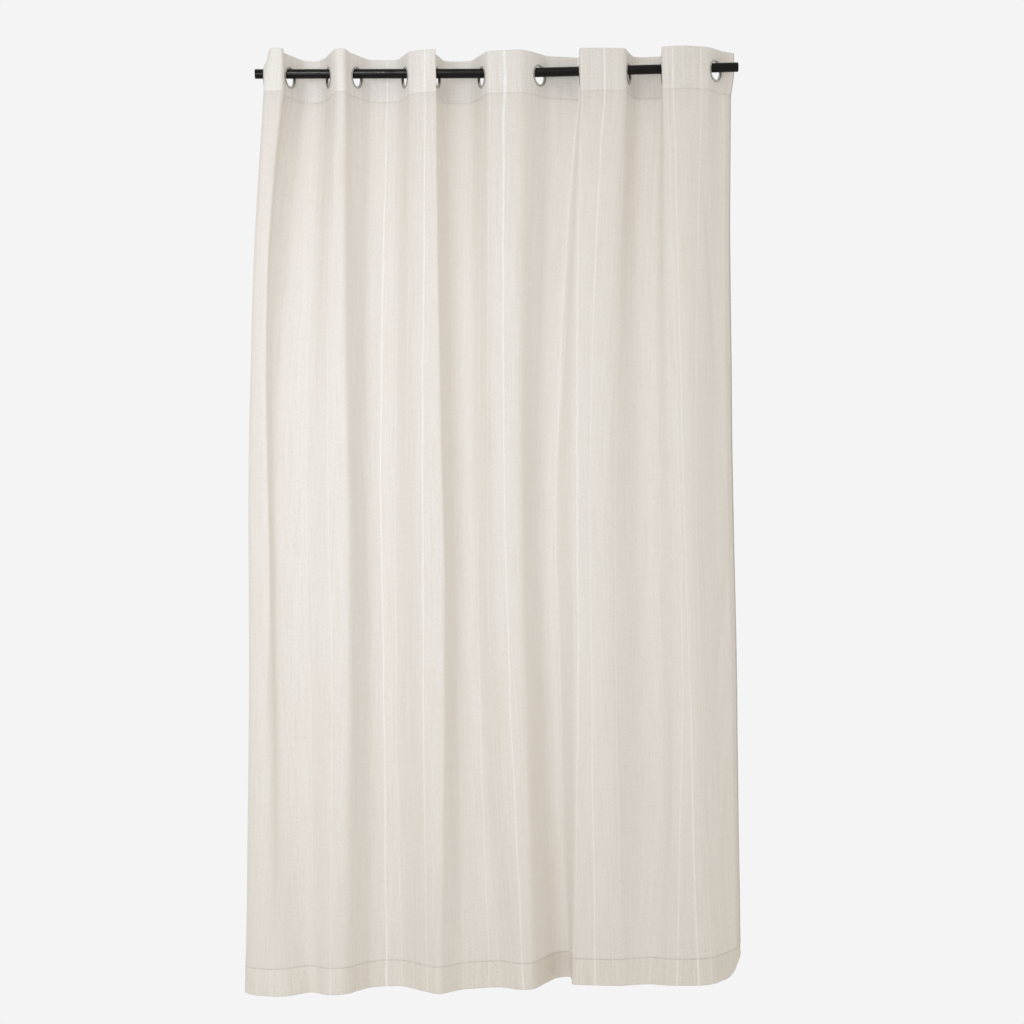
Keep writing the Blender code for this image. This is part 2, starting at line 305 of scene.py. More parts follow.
@dataclass(frozen=True)
class VoileFinish:
    """Off-white semi-sheer cloth with a linen-like weave and white slub stripes."""

    name: str = "sheer_voile"
    ground: tuple = colour(0.935, 0.924, 0.917)
    shade: tuple = colour(0.838, 0.799, 0.764)
    white: tuple = colour(1.0, 0.998, 0.998)
    fleck: tuple = colour(0.60, 0.50, 0.38)
    seen_through: tuple = colour(0.95, 0.908, 0.845)
    # Darker, warmer colour for the doubled heading, hems and side hems. It is partly the denser
    # cloth's own tone and partly painted shade, standing in for the light that passes less through
    # doubled layers.
    doubled_and_shade: tuple = colour(0.86, 0.71, 0.42)
    middle_tone: float = 0.40
    doubled_shade_share: float = 0.12
    flecks: float = 0.45
    wandering: float = 0.005
    stitch: float = 0.0034
    stitch_colour: float = 0.18
    stitch_depth: float = 0.5
    line_half: tuple = (0.0011, 0.0005)
    stitch_gap: tuple = (0.28, 0.36)
    roughness: float = 0.9
    glow: float = 0.34
    bump_depth: float = 0.0005

    def stripe_lines(self, across: Field, along: Field, drop: float,
                     stripes: Sequence[Stripe]) -> Field:
        """Where the white slub threads run and how white they are.

        Args:
            across: Distance from the left edge.
            along: Distance below the top edge.
            drop: Finished length of the cloth.
            stripes: The stripes.

        Returns:
            Their whiteness, from zero to one.
        """
        s = across.shading
        wander = (s.noise(along * 7.0, across * 6.0, 5.0, detail=1.0) - 0.5) * self.wandering
        swell = s.noise(along * 42.0, across * 9.0, 0.0, detail=2.0).ramp(0.30, 0.62)
        shifted = across + wander
        lines: Field | float = 0.0
        for stripe in stripes:
            slope = (stripe.at_hem - stripe.at_top) / drop
            away = abs(shifted - along * slope - stripe.at_top)
            lines = lines + away.ramp(stripe.width * 0.75, stripe.width * 0.25) * stripe.strength
        return (lines * (swell * 0.35 + 0.65)).clamped()

    def material(self, width: float, drop: float, stripes: Sequence[Stripe],
                 seams: tuple[float, float], side_seam: float) -> bpy.types.Material:
        """Build the cloth's material on its flat thread coordinates.

        Args:
            width: Finished width of the cloth.
            drop: Finished length of the cloth.
            stripes: The white stripes.
            seams: Distances below the top edge of the heading's and the hem's stitch line.
            side_seam: Distance of the side hems' stitch line from the edges.

        Returns:
            The material.
        """
        s = Shading(self.name)
        across, along, _ = s.coordinates("threads")
        from_edge = width * 0.5 - abs(across - width * 0.5)
        stitches: Field | float = 0.0
        for away, run in ((along - seams[0], across), (along - seams[1], across),
                          (from_edge - side_seam, along)):
            gaps = (run / self.stitch).fraction().ramp(*self.stitch_gap)
            stitches = stitches + abs(away).ramp(*self.line_half) * gaps
        tone, relief = self.middle_tone, stitches * -self.stitch_depth
        for weave in WEAVES:
            cells = s.noise(across * weave.across, along * weave.along, weave.seed,
                            detail=weave.detail, roughness=weave.roughness)
            tone = tone + (cells - 0.5) * weave.in_tone
            if weave.in_relief:
                relief = relief + cells * weave.in_relief
        fleck = s.noise(across * 480.0, along * 110.0, 31.0, detail=0.0).ramp(0.76, 0.84)
        lines = self.stripe_lines(across, along, drop, stripes)

        side, high, low = from_edge < side_seam, along < seams[0], along > seams[1]
        # Mask of the doubled layers, which also carries painted shade. It is weighted most where
        # the side hems cross the hem, so both lower corners are painted darker and warmer as
        # shade.
        doubled_and_shade = high * 0.3 + low + side * 0.3 + side * low * 1.2
        base = s.blend(tone.clamped(), self.ground, self.shade)
        base = s.blend(doubled_and_shade * self.doubled_shade_share, base, self.doubled_and_shade)
        base = s.blend(fleck * self.flecks, base, self.fleck)
        base = s.blend(lines, base, self.white)
        base = s.blend(stitches * self.stitch_colour, base, self.fleck)
        normal = s.bump(relief, self.bump_depth, 0.45)
        front = s.node("ShaderNodeBsdfPrincipled", sockets={
            "Base Color": base, "Roughness": self.roughness, "Sheen Weight": 0.12,
            "Sheen Roughness": 0.6, "Specular IOR Level": 0.25, "Normal": normal})
        through = s.node("ShaderNodeBsdfTranslucent", sockets={
            "Color": self.seen_through, "Normal": normal})
        thin = 1.0 - (lines * 0.5 + (high + low) * 0.85 + side * 0.13).clamped()
        return s.surface("ShaderNodeMixShader", {
            0: thin * self.glow, 1: front.outputs[0], 2: through.outputs[0]})


@dataclass(frozen=True)
class MetalFinish:
    """Dull grey plated metal with a cloudy tone and fine scratches stretched up and down."""

    name: str = "eyelet_plate"
    bright: tuple = colour(0.57, 0.56, 0.54)
    dull: tuple = colour(0.38, 0.37, 0.36)
    roughness: float = 0.34

    def material(self) -> bpy.types.Material:
        """Build the eyelets' material on object coordinates.

        Returns:
            The material.
        """
        s = Shading(self.name)
        x, y, z = s.coordinates()
        cloudy = s.noise(x * 260.0, y * 260.0, z * 260.0, detail=3.0)
        scratch = s.noise(x * 2400.0, y * 2400.0, z * 500.0, detail=1.0)
        base = s.blend(cloudy.ramp(0.35, 0.7), self.bright, self.dull)
        rough = (cloudy - 0.5) * 0.25 + (scratch - 0.5) * 0.12 + self.roughness
        return s.surface("ShaderNodeBsdfPrincipled", {
            "Base Color": base, "Metallic": 1.0, "Roughness": rough,
            "Normal": s.bump(scratch, 0.0001, 0.15)})


@dataclass(frozen=True)
class BlackFinish:
    """Black satin paint on the rod, with a faint long grain and dust."""

    name: str = "rod_black"
    paint: tuple = colour(0.006, 0.0055, 0.005)
    dust: tuple = colour(0.014, 0.013, 0.012)
    roughness: float = 0.20

    def material(self) -> bpy.types.Material:
        """Build the rod's material on object coordinates.

        Returns:
            The material.
        """
        s = Shading(self.name)
        x, y, z = s.coordinates()
        grain = s.noise(x * 40.0, y * 900.0, z * 900.0, detail=2.0)
        cloudy = s.noise(x * 30.0, y * 120.0, z * 120.0, detail=3.0)
        base = s.blend(cloudy.ramp(0.45, 0.85) * 0.5, self.paint, self.dust)
        rough = (grain - 0.5) * 0.18 + (cloudy - 0.5) * 0.12 + self.roughness
        return s.surface("ShaderNodeBsdfPrincipled", {
            "Base Color": base, "Roughness": rough, "Specular IOR Level": 0.18,
            "Normal": s.bump(grain, 0.00015, 0.2)})


@dataclass(frozen=True)
class FloorFinish:
    """Plain pale floor that fades into the light ground far from the curtain."""

    name: str = "pale_floor"
    paint: tuple = colour(0.855, 0.84, 0.80)
    full_to: float = 0.8
    gone_by: float = 2.3

    def material(self) -> bpy.types.Material:
        """Build the floor's material on object coordinates.

        Returns:
            The material.
        """
        s = Shading(self.name)
        x, y, _ = s.coordinates()
        away = (x * x + y * y) ** 0.5
        return s.surface("ShaderNodeBsdfPrincipled", {
            "Base Color": self.paint, "Roughness": 0.9, "Specular IOR Level": 0.1,
            "Alpha": away.ramp(self.gone_by, self.full_to)})


# Rod


@dataclass
class Rod:
    """The plain round rod, which dips softly at its middle."""

    length: float = 1.110
    radius: float = 0.011
    slope: float = 0.0127
    bend: float = 0.070
    sides: int = 56
    stations: int = 24
    rim: float = 0.0008

    def height(self, x: float) -> float:
        """Height of the rod's axis at a distance along it."""
        return self.slope * (math.hypot(x, self.bend) - self.bend)

    def build(self) -> bpy.types.Mesh:
        """Draw a circle along the rod's axis and close its ends.

        Returns:
            The rod's mesh, in place.
        """
        shape = bmesh.new()
        stand = Matrix.Rotation(math.pi / 2, 4, "Y")
        xs = [self.length * (i / (self.stations - 1) - 0.5) for i in range(self.stations)]
        start = Matrix.Translation((xs[0], 0.0, self.height(xs[0]))) @ stand
        bmesh.ops.create_circle(shape, cap_ends=True, segments=self.sides, radius=self.radius,
                                matrix=start)
        ring = list(shape.edges)
        for before, x in zip(xs, xs[1:]):
            grown = bmesh.ops.extrude_edge_only(shape, edges=ring)["geom"]
            points = [g for g in grown if isinstance(g, bmesh.types.BMVert)]
            step = Vector((x - before, 0.0, self.height(x) - self.height(before)))
            bmesh.ops.translate(shape, vec=step, verts=points)
            ring = [g for g in grown if isinstance(g, bmesh.types.BMEdge)
                    and all(v in points for v in g.verts)]
        bmesh.ops.contextual_create(shape, geom=ring)
        rims = [e for e in shape.edges if any(len(f.verts) > 4 for f in e.link_faces)]
        bmesh.ops.bevel(shape, geom=rims, offset=self.rim, affect="EDGES", segments=3,
                        profile=0.5, material=-1)
        bmesh.ops.recalc_face_normals(shape, faces=shape.faces)
        return finished_mesh("curtain_rod", shape, smooth_below=60.0)

    def dress(self, finish: BlackFinish) -> bpy.types.Object:
        """Build the rod and paint it."""
        return object_from("curtain_rod", self.build(), finish.material(), "rod")


def finished_mesh(name: str, shape: bmesh.types.BMesh, smooth_below: float) -> bpy.types.Mesh:
    """Turn a bmesh into a mesh that is smooth but for its sharp edges.

    Args:
        name: The mesh's name.
        shape: The bmesh, which is freed.
        smooth_below: Edges bent by less than this many degrees are shaded smooth.

    Returns:
        The mesh.
    """
    for face in shape.faces:
        face.smooth = True
    for edge in shape.edges:
        edge.smooth = edge.calc_face_angle(0.0) < math.radians(smooth_below)
    mesh = bpy.data.meshes.new(name)
    shape.to_mesh(mesh)
    shape.free()
    return mesh


# Eyelets


class Crossing(NamedTuple):
    """Where an eyelet crosses the rod, and the plan angle between the rod and its cloth."""

    x: float
    degrees: float


CROSSINGS = (
    Crossing(-0.532, 93.0),
    Crossing(-0.475, 64.0),
    Crossing(-0.387, 75.0),
    Crossing(-0.322, 62.0),
    Crossing(-0.212, 72.0),
    Crossing(-0.138, 74.0),
    Crossing(-0.036, 71.0),
    Crossing(0.097, 52.0),
    Crossing(0.190, 95.0),
    Crossing(0.302, 75.0),
    Crossing(0.379, 94.0),
    Crossing(0.503, 51.0),
)


@dataclass
class Eyelets:
    """Twelve two-part eyelets: a flanged barrel from the front, clinched over a washer."""

    rod: Rod
    bore: float = 0.0210
    barrel: float = 0.0220
    flange: float = 0.0255
    flange_rise: float = 0.0018
    cloth: float = 0.0025
    washer_rise: float = 0.0013
    lip: float = 0.0004
    gap: float = 0.0003
    rest: float = 0.0005
    bore_sides: int = 20
    rest_steps: int = 18
    turn_steps: int = 72

    @property
    def depth(self) -> float:
        """Length of the barrel behind the cloth's front face."""
        return self.cloth + self.gap + self.washer_rise + self.lip

    def along(self, index: int) -> Vector:
        """Direction in plan in which the cloth runs through an eyelet.

        Args:
            index: The eyelet, from the left.

        Returns:
            The unit direction, from left to right.
        """
        turn = math.radians(CROSSINGS[index].degrees)
        side = -1.0 if index % 2 == 0 else 1.0
        return Vector((math.cos(turn), side * math.sin(turn)))

    def resting_height(self, index: int) -> float:
        """Height over the rod's axis of an eyelet's centre, its bore just clear of the rod.

        Args:
            index: The eyelet, from the left.

        Returns:
            The height, in metres.
        """
        turn = math.radians(CROSSINGS[index].degrees)
        bore = self.bore * math.cos(math.pi / self.bore_sides)
        heights = []
        for step in range(self.rest_steps):
            around = 0.5 * math.pi * step / self.rest_steps
            reach = self.rod.radius * math.sin(around) + self.depth * abs(math.cos(turn))
            sideways = reach / math.sin(turn)
            heights.append(self.rod.radius * math.cos(around)
                           - math.sqrt(bore ** 2 - sideways ** 2))
        return max(heights) + self.rest

    def centre(self, index: int) -> Vector:
        """Centre of an eyelet on the cloth's front face."""
        x = CROSSINGS[index].x
        return Vector((x, 0.0, self.rod.height(x) + self.resting_height(index)))

    def place(self, index: int) -> Matrix:
        """Transform from an eyelet's own frame, its axis out of the cloth's front face.

        Args:
            index: The eyelet, from the left.

        Returns:
            The transform.
        """
        run = self.along(index)
        outwards = Vector((run.y, -run.x, 0.0))
        up = Vector((0.0, 0.0, 1.0))
        turn = Matrix((up.cross(outwards), up, outwards)).transposed().to_4x4()
        return Matrix.Translation(self.centre(index)) @ turn

    def barrel_section(self) -> list[tuple[float, float]]:
        """Draw the front half: rolled flange, barrel and clinched back lip.

        Returns:
            Radius and height of each corner of the closed section.
        """
        foot, crown, back = self.gap, self.gap + self.flange_rise, -self.depth
        return [
            (self.bore, foot + 0.0004), (self.bore + 0.0002, crown - 0.0006),
            (self.bore + 0.0008, crown - 0.0001), (self.bore + 0.0016, crown),
            (self.flange - 0.0018, crown - 0.0003), (self.flange - 0.0006, foot + 0.0009),
            (self.flange, foot + 0.0004), (self.flange - 0.0002, foot),
            (self.barrel, foot), (self.barrel, back + 0.0004),
            (self.barrel + 0.0012, back + 0.0003), (self.barrel + 0.0014, back),
            (self.barrel + 0.0008, back - 0.0003), (self.bore + 0.0004, back - 0.0002),
            (self.bore, back + 0.0004),
        ]

    def washer_section(self) -> list[tuple[float, float]]:
        """Draw the washer behind the cloth.

        Returns:
            Radius and height of each corner of the closed section.
        """
        front = -self.cloth - self.gap
        back = front - self.washer_rise
        return [
            (self.barrel + self.gap, front), (self.flange - 0.0002, front),
            (self.flange, front - 0.0004), (self.flange - 0.0005, back + 0.0003),
            (self.flange - 0.0014, back), (self.barrel + self.gap, back),
        ]

    def turned(self, name: str, section: list[tuple[float, float]],
               index: int) -> bpy.types.Mesh:
        """Spin a closed section round the eyelet's axis and set it in place.

        Args:
            name: The mesh's name.
            section: Radius and height of each corner.
            index: The eyelet, from the left.

        Returns:
            The mesh.
        """
        shape = bmesh.new()
        corners = [shape.verts.new((radius, 0.0, height)) for radius, height in section]
        edges = [shape.edges.new((a, b)) for a, b in zip(corners, corners[1:] + corners[:1])]
        bmesh.ops.spin(shape, geom=corners + edges, cent=(0, 0, 0), axis=(0, 0, 1),
                       dvec=(0, 0, 0), angle=math.tau, steps=self.turn_steps, use_merge=True,
                       use_duplicate=False)
        bmesh.ops.remove_doubles(shape, verts=shape.verts, dist=1e-7)
        bmesh.ops.recalc_face_normals(shape, faces=shape.faces)
        bmesh.ops.transform(shape, matrix=self.place(index), verts=shape.verts)
        return finished_mesh(name, shape, smooth_below=50.0)

    def dress(self, finish: MetalFinish) -> list[bpy.types.Object]:
        """Build and plate every eyelet and washer.

        Args:
            finish: Their plating.

        Returns:
            The pieces.
        """
        plate, pieces = finish.material(), []
        for index in range(len(CROSSINGS)):
            for part, section in (("eyelet", self.barrel_section()),
                                  ("washer", self.washer_section())):
                name = f"{part}_ring_{index + 1:02d}"
                mesh = self.turned(name, section, index)
                node = name.replace("_ring", "")
                pieces.append(object_from(name, mesh, plate, node))
        return pieces


# Cloth


class Fold(NamedTuple):
    """Two plan corners of a crest or a valley, and the run that rounds each of them."""

    left_x: float
    left_y: float
    right_x: float
    right_y: float
    left_ease: float
    right_ease: float

    @property
    def corners(self) -> tuple[tuple[Vector, float], tuple[Vector, float]]:
        """Both corners, each with the run that rounds it."""
        return ((Vector((self.left_x, self.left_y)), self.left_ease),
                (Vector((self.right_x, self.right_y)), self.right_ease))


class Crease(NamedTuple):
    """A soft trough (negative) or ridge in the cloth, along a line of its flat coordinates."""

    across_start: float
    below_start: float
    across_end: float
    below_end: float
    half_width: float
    height: float
    soft_ends: float = 0.3


@dataclass(frozen=True)
class Plan:
    """The cloth seen from above at one height: its edges and its crests and valleys in turn."""

    left: tuple[float, float]
    right: tuple[float, float]
    folds: tuple[Fold, ...]


HEADING = Plan((-0.528, 0.066), (0.552, 0.046), (
    Fold(-0.531, -0.072, -0.484, -0.074, 0.018, 0.016),
    Fold(-0.446, 0.060, -0.416, 0.068, 0.022, 0.022),
    Fold(-0.367, -0.067, -0.346, -0.068, 0.018, 0.014),
    Fold(-0.290, 0.054, -0.232, 0.053, 0.026, 0.026),
    Fold(-0.186, -0.047, -0.139, -0.061, 0.022, 0.008),
    Fold(-0.121, 0.068, -0.060, 0.067, 0.024, 0.024),
    Fold(-0.018, -0.038, 0.052, -0.050, 0.014, 0.026),
    Fold(0.126, 0.030, 0.194, 0.052, 0.014, 0.010),
    Fold(0.189, -0.049, 0.286, -0.037, 0.006, 0.012),
    Fold(0.323, 0.065, 0.384, 0.061, 0.022, 0.010),
    Fold(0.375, -0.039, 0.424, -0.048, 0.006, 0.026),
))
WAIST = Plan((-0.580, 0.084), (0.536, 0.056), (
    Fold(-0.589, -0.030, -0.535, -0.064, 0.030, 0.012),
    Fold(-0.530, -0.018, -0.468, -0.002, 0.012, 0.030),
    Fold(-0.398, -0.052, -0.356, -0.066, 0.030, 0.012),
    Fold(-0.316, 0.044, -0.268, 0.054, 0.030, 0.030),
    Fold(-0.196, -0.048, -0.141, -0.064, 0.030, 0.009),
    Fold(-0.118, 0.050, -0.076, 0.056, 0.022, 0.030),
    Fold(-0.026, -0.040, 0.030, -0.052, 0.022, 0.030),
    Fold(0.078, 0.046, 0.112, 0.058, 0.030, 0.022),
    Fold(0.150, -0.040, 0.226, -0.042, 0.022, 0.030),
    Fold(0.308, 0.030, 0.346, 0.026, 0.030, 0.030),
    Fold(0.376, -0.040, 0.418, -0.050, 0.024, 0.014),
))
HEM = Plan((-0.618, 0.086), (0.531, 0.080), (
    Fold(-0.614, -0.014, -0.586, -0.050, 0.030, 0.012),
    Fold(-0.520, -0.082, -0.460, -0.018, 0.040, 0.016),
    Fold(-0.422, -0.065, -0.382, -0.060, 0.024, 0.014),
    Fold(-0.330, 0.037, -0.262, 0.046, 0.024, 0.034),
    Fold(-0.196, -0.054, -0.175, -0.074, 0.020, 0.008),
    Fold(-0.120, -0.012, -0.034, 0.008, 0.030, 0.030),
    Fold(0.008, -0.034, 0.043, -0.038, 0.024, 0.014),
    Fold(0.096, 0.110, 0.130, 0.112, 0.024, 0.010),
    Fold(0.130, 0.004, 0.236, -0.038, 0.006, 0.030),
    Fold(0.264, -0.028, 0.304, -0.026, 0.020, 0.020),
    Fold(0.346, -0.054, 0.438, -0.067, 0.024, 0.026),
))

STRIPES: tuple[Stripe, ...] = (
    Stripe(0.080, 0.080, 0.0021, 0.4),
    Stripe(0.205, 0.205, 0.0021, 0.4),
    Stripe(0.310, 0.325, 0.0021, 0.5),
    Stripe(0.380, 0.400, 0.0021, 0.5),
    Stripe(0.500, 0.500, 0.0021, 0.5),
    Stripe(0.580, 0.575, 0.0029, 1.0),
    Stripe(0.625, 0.605, 0.0021, 0.6),
    Stripe(0.690, 0.645, 0.0021, 0.6),
    Stripe(0.735, 0.705, 0.0029, 0.9),
    Stripe(0.860, 0.860, 0.0021, 0.4),
    Stripe(0.980, 0.905, 0.0021, 0.7),
    Stripe(1.010, 0.970, 0.0022, 0.8),
    Stripe(1.040, 1.025, 0.0029, 1.0),
    Stripe(1.150, 1.150, 0.0021, 0.4),
    Stripe(1.225, 1.240, 0.0021, 0.6),
    Stripe(1.330, 1.330, 0.0021, 0.7),
    Stripe(1.375, 1.375, 0.0029, 1.0),
    Stripe(1.440, 1.430, 0.0020, 0.5),
    Stripe(1.560, 1.560, 0.0021, 0.4),
    Stripe(1.640, 1.630, 0.0022, 0.8),
    Stripe(1.655, 1.660, 0.0029, 1.0),
    Stripe(1.715, 1.690, 0.0022, 0.8),
)
CREASES: tuple[Crease, ...] = (
    Crease(0.189, 1.300, 0.154, 1.960, 0.0060, -0.0020),
    Crease(1.257, 0.550, 1.232, 0.950, 0.0100, -0.0025),
    Crease(1.715, 0.200, 1.805, 0.850, 0.0120, -0.0035),
    Crease(1.835, 1.100, 1.755, 1.550, 0.0120, -0.0030),
    Crease(1.840, 1.450, 1.720, 1.950, 0.0120, 0.0030),
    Crease(1.690, 1.600, 1.745, 2.080, 0.0120, -0.0030),
    Crease(1.557, 2.066, 1.557, 2.140, 0.0035, -0.0030, 0.15),
    Crease(0.868, 2.066, 0.880, 2.120, 0.0040, -0.0018, 0.25),
    Crease(0.433, 2.066, 0.432, 2.125, 0.0040, -0.0015, 0.25),
)


class Stray(NamedTuple):
    """One scale of the sway: its cells across and down, and its size, in metres."""

    across: float
    down: float
    size: float


STRAYS = (Stray(0.16, 0.85, 0.0042), Stray(0.06, 0.42, 0.0020), Stray(0.025, 0.20, 0.0006))


class Gather(NamedTuple):
    """Puckers along stitches: their height, their reach from the line, and their waves."""

    height: float
    reach: float
    wave: float
    swing: float
    swing_wave: float
    swell_wave: float

    def heights(self, run: np.ndarray, away: np.ndarray) -> np.ndarray:
        """Gather the cloth along stitches.

        Args:
            run: Distance of each point along them.
            away: Distance of each point from them.

        Returns:
            The height of each point.
        """
        wave = np.sin(run * self.wave + self.swing * np.sin(run * self.swing_wave))
        swell = 0.6 + 0.4 * np.sin(run * self.swell_wave)
        return self.height * np.exp(-(away / self.reach) ** 2) * wave * swell


HEADING_GATHER = Gather(0.0003, 0.006, 331.0, 1.7, 47.0, 23.0)
HEM_GATHER = Gather(0.0007, 0.016, 331.0, 1.7, 47.0, 23.0)
SIDE_GATHER = Gather(0.0006, 0.011, 190.0, 2.1, 17.0, 9.0)


class Run(IntEnum):
    """How many columns of the sheet each kind of stretch gets."""

    EDGE = 6
    FLANK_CORNER = 3
    FLANK = 14
    SLOPE = 3
    FOLD_CORNER = 7
    FOLD = 4


@dataclass
class Panel:
    """The cloth panel with its turned heading, side hems and hem."""

    rod: Rod
    eyelets: Eyelets
    top_above_rod: float = 0.043
    drop: float = 2.131
    heading: float = 0.100
    hem: float = 0.061
    side_hem: float = 0.022
    waist: float = 1.133
    relaxing: float = 1.6
    spreading: float = 1.6
    early_crest: float = 3.5
    late_spreading: float = 4.0
    late_after: int = 8
    late_valley: float = 3.2
    crest_lean: float = 0.017
    lean_power: float = 1.7
    right_tuck: float = 0.009
    tuck_width: float = 0.120
    tuck_from: float = 0.040
    tuck_over: float = 0.070
    flat_to: float = 0.027
    flat_ease: float = 0.015
    curl: float = 0.026
    curl_width: float = 0.075
    curl_back: float = 0.020
    turn_back: float = 0.028
    turn_width: float = 0.062
    turn_rise: float = 0.150
    turn_sideways: float = 0.16
    flank_half: float = 0.030
    flank_ease: float = 0.004
    free_ease: float = 0.008
    largest_share: float = 0.42
    softening: int = 10
    smoothing: float = 0.0058
    smooth_from: float = 0.150
    smooth_step: float = 0.001
    soft_from: float = 0.020
    evened_over: int = 6
    free_over: float = 0.35
    heading_gap: float = 0.0022
    hem_gap: float = 0.0011
    seam_inset: float = 0.003
    groove: float = 0.0004
    groove_half: float = 0.0016
    rolled_over: float = 0.0030
    pinch: float = 0.6
    pinch_half: float = 0.003
    hole: float = 0.0224
    near_hole: float = 0.035
    body_step: float = 0.026

    @property
    def seams(self) -> tuple[float, float]:
        """Distances below the top edge of the heading's and the hem's stitch lines."""
        return self.heading - self.seam_inset, self.drop - self.hem + self.seam_inset

    def flanks(self, plan: Plan) -> list[tuple[Vector, Vector]]:
        """The straight run of cloth between each two folds.

        Args:
            plan: The plan it is in; at the heading each run is set by its eyelet.

        Returns:
            The two ends of each run.
        """
        if plan is HEADING:
            ends = []
            for index, crossing in enumerate(CROSSINGS):
                centre = Vector((crossing.x, 0.0))
                reach = self.eyelets.along(index) * self.flank_half
                ends.append((centre - reach, centre + reach))
            return ends
        stops = [Vector(plan.left)]
        for fold in plan.folds:
            stops += [corner for corner, _ in fold.corners]
        stops.append(Vector(plan.right))
        return [(a.lerp(b, 1 / 3), a.lerp(b, 2 / 3)) for a, b in zip(stops[0::2], stops[1::2])]

    def plan_points(self, plan: Plan) -> np.ndarray:
        """Sample a plan with the same number of points for every plan.

        Args:
            plan: The plan.

        Returns:
            Points as rows of x and y, softened but at the heading.
        """
        ease = self.flank_ease if plan is HEADING else self.free_ease
        corners: list[tuple[Vector, float, int]] = [(Vector(plan.left), 0.0, 1)]
        runs: list[int] = [Run.EDGE]
        for index, ends in enumerate(self.flanks(plan)):
            corners += [(end, ease, Run.FLANK_CORNER) for end in ends]
            runs.append(Run.FLANK)
            for fold in plan.folds[index:index + 1]:
                corners += [(corner, reach, Run.FOLD_CORNER) for corner, reach in fold.corners]
                runs += [Run.SLOPE, Run.FOLD, Run.SLOPE]
        corners.append((Vector(plan.right), 0.0, 1))
        runs.append(Run.EDGE)

        pieces: list[list[Vector]] = []
        softness = [[min(1.0, reach / self.soft_from)] * steps for _, reach, steps in corners]
        for index, (corner, reach, steps) in enumerate(corners):
            if steps == 1:
                pieces.append([corner])
                continue
            before = corners[index - 1][0] - corner
            after = corners[index + 1][0] - corner
            start = corner + before.normalized() * min(reach, self.largest_share * before.length)
            end = corner + after.normalized() * min(reach, self.largest_share * after.length)
            shares = [step / (steps - 1) for step in range(steps)]
            pieces.append([start.lerp(corner, t).lerp(corner.lerp(end, t), t) for t in shares])
        points, weights = list(pieces[0]), list(softness[0])
        for count, piece, weight in zip(runs, pieces[1:], softness[1:]):
            last, first = points[-1], piece[0]
            points += [last.lerp(first, (i + 1) / (count + 1)) for i in range(count)]
            weights += [1.0] * count
            points += piece
            weights += weight
        sampled = np.array([(p.x, p.y) for p in points])
        return sampled if plan is HEADING else self.softened(sampled, np.array(weights))

    def softened(self, points: np.ndarray, weights: np.ndarray) -> np.ndarray:
        """Round a plan further, as thin cloth that hangs free does.

        Args:
            points: Its points.
            weights: How much each point gives way, from zero to one.

        Returns:
            The same number of points on a softer curve.
        """
        soft = points.copy()
        for _ in range(self.softening):
            ahead = np.linalg.norm(soft[2:] - soft[1:-1], axis=1)[:, None]
            behind = np.linalg.norm(soft[1:-1] - soft[:-2], axis=1)[:, None]
            middle = (soft[2:] * behind + soft[:-2] * ahead) / (ahead + behind)
            soft[1:-1] += 0.5 * weights[1:-1, None] * (middle - soft[1:-1])
        return soft

    def flank_columns(self, index: int) -> range:
        """Columns of the sheet that lie on the straight run through an eyelet.

        Args:
            index: The eyelet, from the left.

        Returns:
            The columns.
        """
        flank = 2 * Run.FLANK_CORNER + Run.FLANK
        fold = 2 * Run.SLOPE + 2 * Run.FOLD_CORNER + Run.FOLD
        first = 1 + Run.EDGE + index * (flank + fold)
        return range(first, first + flank)

    def across_columns(self) -> np.ndarray:
        """Distance of each column from the left edge, the mean of what the plans give."""
        steps = [np.linalg.norm(np.diff(self.plan_points(plan), axis=0), axis=1)
                 for plan in (HEADING, WAIST, HEM)]
        return np.concatenate([[0.0], np.cumsum(np.mean(steps, axis=0))])

    def below_rows(self) -> np.ndarray:
        """Set out the rows, closer together where there is detail.

        Returns:
            Distance of each row below the top edge.
        """
        heading_seam, hem_seam = self.seams
        hem_top = self.drop - self.hem
        first, last = self.heading + 0.02, hem_top - 0.03
        return np.array([
            0.0, 0.0012, 0.004, 0.009, 0.016, *np.linspace(0.024, 0.080, 17), 0.086, 0.091,
            heading_seam - 0.002, heading_seam, heading_seam + 0.0015,
            self.heading, self.heading + 0.004,
            *np.linspace(first, last, round((last - first) / self.body_step)),
            hem_top - 0.016, hem_top - 0.007, hem_top - 0.002, hem_top,
            *(hem_seam + step for step in (-0.001, 0.0, 0.002, 0.007, 0.015, 0.026, 0.038)),
            *(self.drop - step for step in (0.011, 0.005, 0.0012, 0.0))])

    def blended(self, plans: tuple[np.ndarray, np.ndarray, np.ndarray],
                below: float) -> np.ndarray:
        """Plan of the cloth at one height.

        Args:
            plans: The plans at the heading, the waist and the hem.
            below: Distance below the top edge.

        Returns:
            The plan's points.
        """
        heading, waist, hem = plans
        if below <= self.heading:
            return heading
        if below <= self.waist:
            t = (below - self.heading) / (self.waist - self.heading)
            power = np.full(len(waist), self.relaxing)
            first = self.flank_columns(1)
            power[first.start - Run.FOLD_CORNER:first.stop] = self.early_crest
            share = 1.0 - (1.0 - t) ** self.evened(power)
            return heading + (waist - heading) * share
        t = (below - self.waist) / (self.drop - self.waist)
        power = np.full(len(hem), self.spreading)
        late = self.flank_columns(1).start + self.late_after
        power[late:self.flank_columns(2).start] = self.late_spreading
        power[self.flank_columns(9).start:self.flank_columns(10).stop] = self.late_valley
        return waist + (hem - waist) * t ** self.evened(power)

    def evened(self, power: np.ndarray) -> np.ndarray:
        """Running mean over neighbouring columns of the sheet.

        Args:
            power: A value for each column.

        Returns:
            The means, shaped to multiply points.
        """
        count = 2 * self.evened_over + 1
        padded = np.pad(power, self.evened_over, mode="edge")
        return np.convolve(padded, np.full(count, 1 / count), mode="valid")[:, None]

